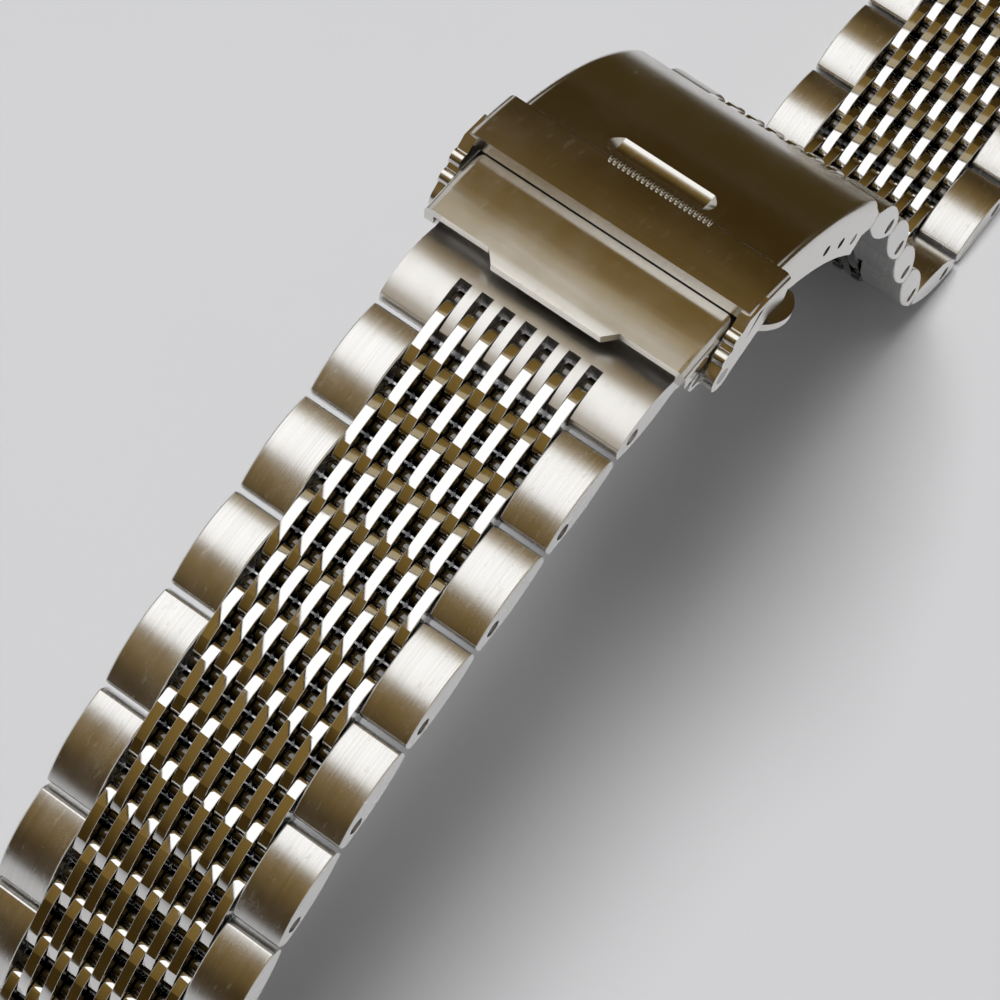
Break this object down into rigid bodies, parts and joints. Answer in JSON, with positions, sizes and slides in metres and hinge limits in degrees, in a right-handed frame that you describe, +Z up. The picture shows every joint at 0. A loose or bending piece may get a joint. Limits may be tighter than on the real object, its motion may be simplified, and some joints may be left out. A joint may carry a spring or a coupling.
{
  "type": "metal watch bracelet",
  "caption": "Steel watch bracelet of brushed side links and polished plates, with a folding clasp, push buttons and a safety lock.",
  "frame": {"origin": "middle of the bounding box at floor level, under the standing bracelet", "axes": "+X from the near half towards the far half along the strap, +Y across the strap, +Z up"},
  "size_m": [0.1513, 0.0254, 0.0559],
  "materials": {
    "brushed": "brushed along the strap",
    "polished": "mirror polished",
    "satin": "fine satin",
    "blades": "satin",
    "pins": "plain"
  },
  "bodies": {
    "cover": {"cover": "satin", "cover_hinge_pin": "pins", "far_spring_bar": "pins", "catch_spring": "pins"},
    "outer_blade": {"outer_blade": "blades", "blade_hinge_pin": "pins"},
    "inner_blade": {"inner_blade": "blades", "catch_plate": "blades", "end_bracket": "blades", "lock_pins": "pins", "near_spring_bar": "pins"},
    "safety_lock": {"safety_lock": "satin"},
    "button_left": {"button_left": "satin"},
    "button_right": {"button_right": "satin"},
    "near_end_link": {"near_end_link": "brushed"},
    "near_plates_1": {"near_plates_1": "polished"},
    "near_links_1": {"near_links_1": "brushed"},
    "near_plates_2": {"near_plates_2": "polished"},
    "near_links_2": {"near_links_2": "brushed"},
    "near_plates_3": {"near_plates_3": "polished"},
    "near_links_3": {"near_links_3": "brushed"},
    "near_plates_4": {"near_plates_4": "polished"},
    "near_links_4": {"near_links_4": "brushed"},
    "near_plates_5": {"near_plates_5": "polished"},
    "near_links_5": {"near_links_5": "brushed"},
    "near_plates_6": {"near_plates_6": "polished"},
    "near_links_6": {"near_links_6": "brushed"},
    "near_plates_7": {"near_plates_7": "polished"},
    "near_links_7": {"near_links_7": "brushed"},
    "near_plates_8": {"near_plates_8": "polished"},
    "near_links_8": {"near_links_8": "brushed"},
    "near_plates_9": {"near_plates_9": "polished"},
    "near_links_9": {"near_links_9": "brushed"},
    "near_plates_10": {"near_plates_10": "polished"},
    "near_links_10": {"near_links_10": "brushed"},
    "near_plates_11": {"near_plates_11": "polished"},
    "near_lug_end": {"near_lug_end": "brushed"},
    "far_end_link": {"far_end_link": "brushed"},
    "far_plates_1": {"far_plates_1": "polished"},
    "far_links_1": {"far_links_1": "brushed"},
    "far_plates_2": {"far_plates_2": "polished"},
    "far_links_2": {"far_links_2": "brushed"},
    "far_plates_3": {"far_plates_3": "polished"},
    "far_links_3": {"far_links_3": "brushed"},
    "far_plates_4": {"far_plates_4": "polished"},
    "far_links_4": {"far_links_4": "brushed"},
    "far_plates_5": {"far_plates_5": "polished"},
    "far_links_5": {"far_links_5": "brushed"},
    "far_plates_6": {"far_plates_6": "polished"},
    "far_links_6": {"far_links_6": "brushed"},
    "far_plates_7": {"far_plates_7": "polished"},
    "far_links_7": {"far_links_7": "brushed"},
    "far_plates_8": {"far_plates_8": "polished"},
    "far_links_8": {"far_links_8": "brushed"},
    "far_plates_9": {"far_plates_9": "polished"},
    "far_links_9": {"far_links_9": "brushed"},
    "far_plates_10": {"far_plates_10": "polished"},
    "far_lug_end": {"far_lug_end": "brushed"}
  },
  "joints": [
    {"name": "safety_lock_hinge", "type": "hinge", "parent": "inner_blade", "child": "safety_lock", "pos_m": [-0.00535, 0, 0.05207], "axis": [0, -1, 0], "range_deg": [0, 86], "deforming": ["catch_spring"]},
    {"name": "cover_hinge", "type": "hinge", "parent": "cover", "child": "outer_blade", "pos_m": [-0.00203, 0, 0.05292], "axis": [0, 1, 0], "range_deg": [0, 43], "deforming": ["catch_spring"]},
    {"name": "blade_hinge", "type": "hinge", "parent": "outer_blade", "child": "inner_blade", "pos_m": [0.00736, 0, 0.04743], "axis": [0, -1, 0], "range_deg": [0, 17.2], "deforming": ["catch_spring"]},
    {"name": "button_left_slide", "type": "slide", "parent": "cover", "child": "button_left", "axis": [0, -1, 0], "range_m": [0, 0.0008], "stiffness_N_per_m": 400, "springref_m": -0.0004, "deforming": ["catch_spring"]},
    {"name": "button_right_slide", "type": "slide", "parent": "cover", "child": "button_right", "axis": [0, 1, 0], "range_m": [0, 0.0008], "stiffness_N_per_m": 400, "springref_m": -0.0004, "deforming": ["catch_spring"]},
    {"name": "near_end_hinge", "type": "hinge", "parent": "inner_blade", "child": "near_end_link", "pos_m": [-0.00707, 0, 0.05283], "axis": [0, -1, 0], "range_deg": [-6, 10]},
    {"name": "near_pin_1", "type": "hinge", "parent": "near_end_link", "child": "near_plates_1", "pos_m": [-0.01307, 0, 0.05304], "axis": [0, -1, 0], "range_deg": [-18.8, 2]},
    {"name": "near_pin_2", "type": "hinge", "parent": "near_plates_1", "child": "near_links_1", "pos_m": [-0.01701, 0, 0.05236], "axis": [0, -1, 0], "range_deg": [-7.8, 12.2]},
    {"name": "near_pin_3", "type": "hinge", "parent": "near_links_1", "child": "near_plates_2", "pos_m": [-0.02094, 0, 0.05163], "axis": [0, -1, 0], "range_deg": [-7.8, 12.2]},
    {"name": "near_pin_4", "type": "hinge", "parent": "near_plates_2", "child": "near_links_2", "pos_m": [-0.02486, 0, 0.05084], "axis": [0, -1, 0], "range_deg": [-7.8, 12.2]},
    {"name": "near_pin_5", "type": "hinge", "parent": "near_links_2", "child": "near_plates_3", "pos_m": [-0.02877, 0, 0.04999], "axis": [0, -1, 0], "range_deg": [-7.8, 12.2]},
    {"name": "near_pin_6", "type": "hinge", "parent": "near_plates_3", "child": "near_links_3", "pos_m": [-0.03267, 0, 0.04909], "axis": [0, -1, 0], "range_deg": [-7.8, 12.2]},
    {"name": "near_pin_7", "type": "hinge", "parent": "near_links_3", "child": "near_plates_4", "pos_m": [-0.03655, 0, 0.04814], "axis": [0, -1, 0], "range_deg": [-11.38, 8.62]},
    {"name": "near_pin_8", "type": "hinge", "parent": "near_plates_4", "child": "near_links_4", "pos_m": [-0.04035, 0, 0.04689], "axis": [0, -1, 0], "range_deg": [-11.38, 8.62]},
    {"name": "near_pin_9", "type": "hinge", "parent": "near_links_4", "child": "near_plates_5", "pos_m": [-0.04405, 0, 0.04535], "axis": [0, -1, 0], "range_deg": [-11.38, 8.62]},
    {"name": "near_pin_10", "type": "hinge", "parent": "near_plates_5", "child": "near_links_5", "pos_m": [-0.04761, 0, 0.04354], "axis": [0, -1, 0], "range_deg": [-11.38, 8.62]},
    {"name": "near_pin_11", "type": "hinge", "parent": "near_links_5", "child": "near_plates_6", "pos_m": [-0.05103, 0, 0.04146], "axis": [0, -1, 0], "range_deg": [-11.38, 8.62]},
    {"name": "near_pin_12", "type": "hinge", "parent": "near_plates_6", "child": "near_links_6", "pos_m": [-0.05428, 0, 0.03913], "axis": [0, -1, 0], "range_deg": [-11.38, 8.62]},
    {"name": "near_pin_13", "type": "hinge", "parent": "near_links_6", "child": "near_plates_7", "pos_m": [-0.05734, 0, 0.03655], "axis": [0, -1, 0], "range_deg": [-11.38, 8.62]},
    {"name": "near_pin_14", "type": "hinge", "parent": "near_plates_7", "child": "near_links_7", "pos_m": [-0.06019, 0, 0.03375], "axis": [0, -1, 0], "range_deg": [-11.38, 8.62]},
    {"name": "near_pin_15", "type": "hinge", "parent": "near_links_7", "child": "near_plates_8", "pos_m": [-0.06282, 0, 0.03073], "axis": [0, -1, 0], "range_deg": [-11.38, 8.62]},
    {"name": "near_pin_16", "type": "hinge", "parent": "near_plates_8", "child": "near_links_8", "pos_m": [-0.06522, 0, 0.02753], "axis": [0, -1, 0], "range_deg": [-11.38, 8.62]},
    {"name": "near_pin_17", "type": "hinge", "parent": "near_links_8", "child": "near_plates_9", "pos_m": [-0.06736, 0, 0.02415], "axis": [0, -1, 0], "range_deg": [-11.38, 8.62]},
    {"name": "near_pin_18", "type": "hinge", "parent": "near_plates_9", "child": "near_links_9", "pos_m": [-0.06923, 0, 0.02062], "axis": [0, -1, 0], "range_deg": [-11.38, 8.62]},
    {"name": "near_pin_19", "type": "hinge", "parent": "near_links_9", "child": "near_plates_10", "pos_m": [-0.07084, 0, 0.01695], "axis": [0, -1, 0], "range_deg": [-11.38, 8.62]},
    {"name": "near_pin_20", "type": "hinge", "parent": "near_plates_10", "child": "near_links_10", "pos_m": [-0.07215, 0, 0.01318], "axis": [0, -1, 0], "range_deg": [-11.38, 8.62]},
    {"name": "near_pin_21", "type": "hinge", "parent": "near_links_10", "child": "near_plates_11", "pos_m": [-0.07318, 0, 0.00931], "axis": [0, -1, 0], "range_deg": [-11.38, 8.62]},
    {"name": "near_pin_22", "type": "hinge", "parent": "near_plates_11", "child": "near_lug_end", "pos_m": [-0.0739, 0, 0.00538], "axis": [0, -1, 0], "range_deg": [-11.38, 8.62]},
    {"name": "far_end_hinge", "type": "hinge", "parent": "cover", "child": "far_end_link", "pos_m": [0.01349, 0, 0.04176], "axis": [0, -1, 0], "range_deg": [-10, 6]},
    {"name": "far_pin_1", "type": "hinge", "parent": "far_end_link", "child": "far_plates_1", "pos_m": [0.01735, 0, 0.03716], "axis": [0, -1, 0], "range_deg": [-7, 13]},
    {"name": "far_pin_2", "type": "hinge", "parent": "far_plates_1", "child": "far_links_1", "pos_m": [0.01959, 0, 0.03384], "axis": [0, -1, 0], "range_deg": [-7, 13]},
    {"name": "far_pin_3", "type": "hinge", "parent": "far_links_1", "child": "far_plates_2", "pos_m": [0.02147, 0, 0.03031], "axis": [0, -1, 0], "range_deg": [-7, 13]},
    {"name": "far_pin_4", "type": "hinge", "parent": "far_plates_2", "child": "far_links_2", "pos_m": [0.02296, 0, 0.0266], "axis": [0, -1, 0], "range_deg": [-7, 13]},
    {"name": "far_pin_5", "type": "hinge", "parent": "far_links_2", "child": "far_plates_3", "pos_m": [0.02407, 0, 0.02276], "axis": [0, -1, 0], "range_deg": [-13, 7]},
    {"name": "far_pin_6", "type": "hinge", "parent": "far_plates_3", "child": "far_links_3", "pos_m": [0.02517, 0, 0.01891], "axis": [0, -1, 0], "range_deg": [-13, 7]},
    {"name": "far_pin_7", "type": "hinge", "parent": "far_links_3", "child": "far_plates_4", "pos_m": [0.02627, 0, 0.01507], "axis": [0, -1, 0], "range_deg": [-13, 7]},
    {"name": "far_pin_8", "type": "hinge", "parent": "far_plates_4", "child": "far_links_4", "pos_m": [0.02737, 0, 0.01122], "axis": [0, -1, 0], "range_deg": [-13, 7]},
    {"name": "far_pin_9", "type": "hinge", "parent": "far_links_4", "child": "far_plates_5", "pos_m": [0.02848, 0, 0.00738], "axis": [0, -1, 0], "range_deg": [-34, 2]},
    {"name": "far_pin_10", "type": "hinge", "parent": "far_plates_5", "child": "far_links_5", "pos_m": [0.03088, 0, 0.00418], "axis": [0, -1, 0], "range_deg": [-34, 2]},
    {"name": "far_pin_11", "type": "hinge", "parent": "far_links_5", "child": "far_plates_6", "pos_m": [0.03428, 0, 0.00206], "axis": [0, -1, 0], "range_deg": [-34, 2]},
    {"name": "far_pin_12", "type": "hinge", "parent": "far_plates_6", "child": "far_links_6", "pos_m": [0.0382, 0, 0.0013], "axis": [0, -1, 0], "range_deg": [-24, 2]},
    {"name": "far_pin_13", "type": "hinge", "parent": "far_links_6", "child": "far_plates_7", "pos_m": [0.0422, 0, 0.0013], "axis": [0, -1, 0], "range_deg": [-13, 7]},
    {"name": "far_pin_14", "type": "hinge", "parent": "far_plates_7", "child": "far_links_7", "pos_m": [0.0462, 0, 0.0013], "axis": [0, -1, 0], "range_deg": [-13, 7]},
    {"name": "far_pin_15", "type": "hinge", "parent": "far_links_7", "child": "far_plates_8", "pos_m": [0.0502, 0, 0.0013], "axis": [0, -1, 0], "range_deg": [-13, 7]},
    {"name": "far_pin_16", "type": "hinge", "parent": "far_plates_8", "child": "far_links_8", "pos_m": [0.0542, 0, 0.0013], "axis": [0, -1, 0], "range_deg": [-13, 7]},
    {"name": "far_pin_17", "type": "hinge", "parent": "far_links_8", "child": "far_plates_9", "pos_m": [0.0582, 0, 0.0013], "axis": [0, -1, 0], "range_deg": [-13, 7]},
    {"name": "far_pin_18", "type": "hinge", "parent": "far_plates_9", "child": "far_links_9", "pos_m": [0.0622, 0, 0.0013], "axis": [0, -1, 0], "range_deg": [-13, 7]},
    {"name": "far_pin_19", "type": "hinge", "parent": "far_links_9", "child": "far_plates_10", "pos_m": [0.0662, 0, 0.0013], "axis": [0, -1, 0], "range_deg": [-13, 7]},
    {"name": "far_pin_20", "type": "hinge", "parent": "far_plates_10", "child": "far_lug_end", "pos_m": [0.0702, 0, 0.0013], "axis": [0, -1, 0], "range_deg": [-13, 7]}
  ],
  "couplings": [
    {"joint": "cover_hinge", "follows": "safety_lock_hinge", "ratio": 0.5},
    {"joint": "blade_hinge", "follows": "safety_lock_hinge", "ratio": 0.2}
  ]
}
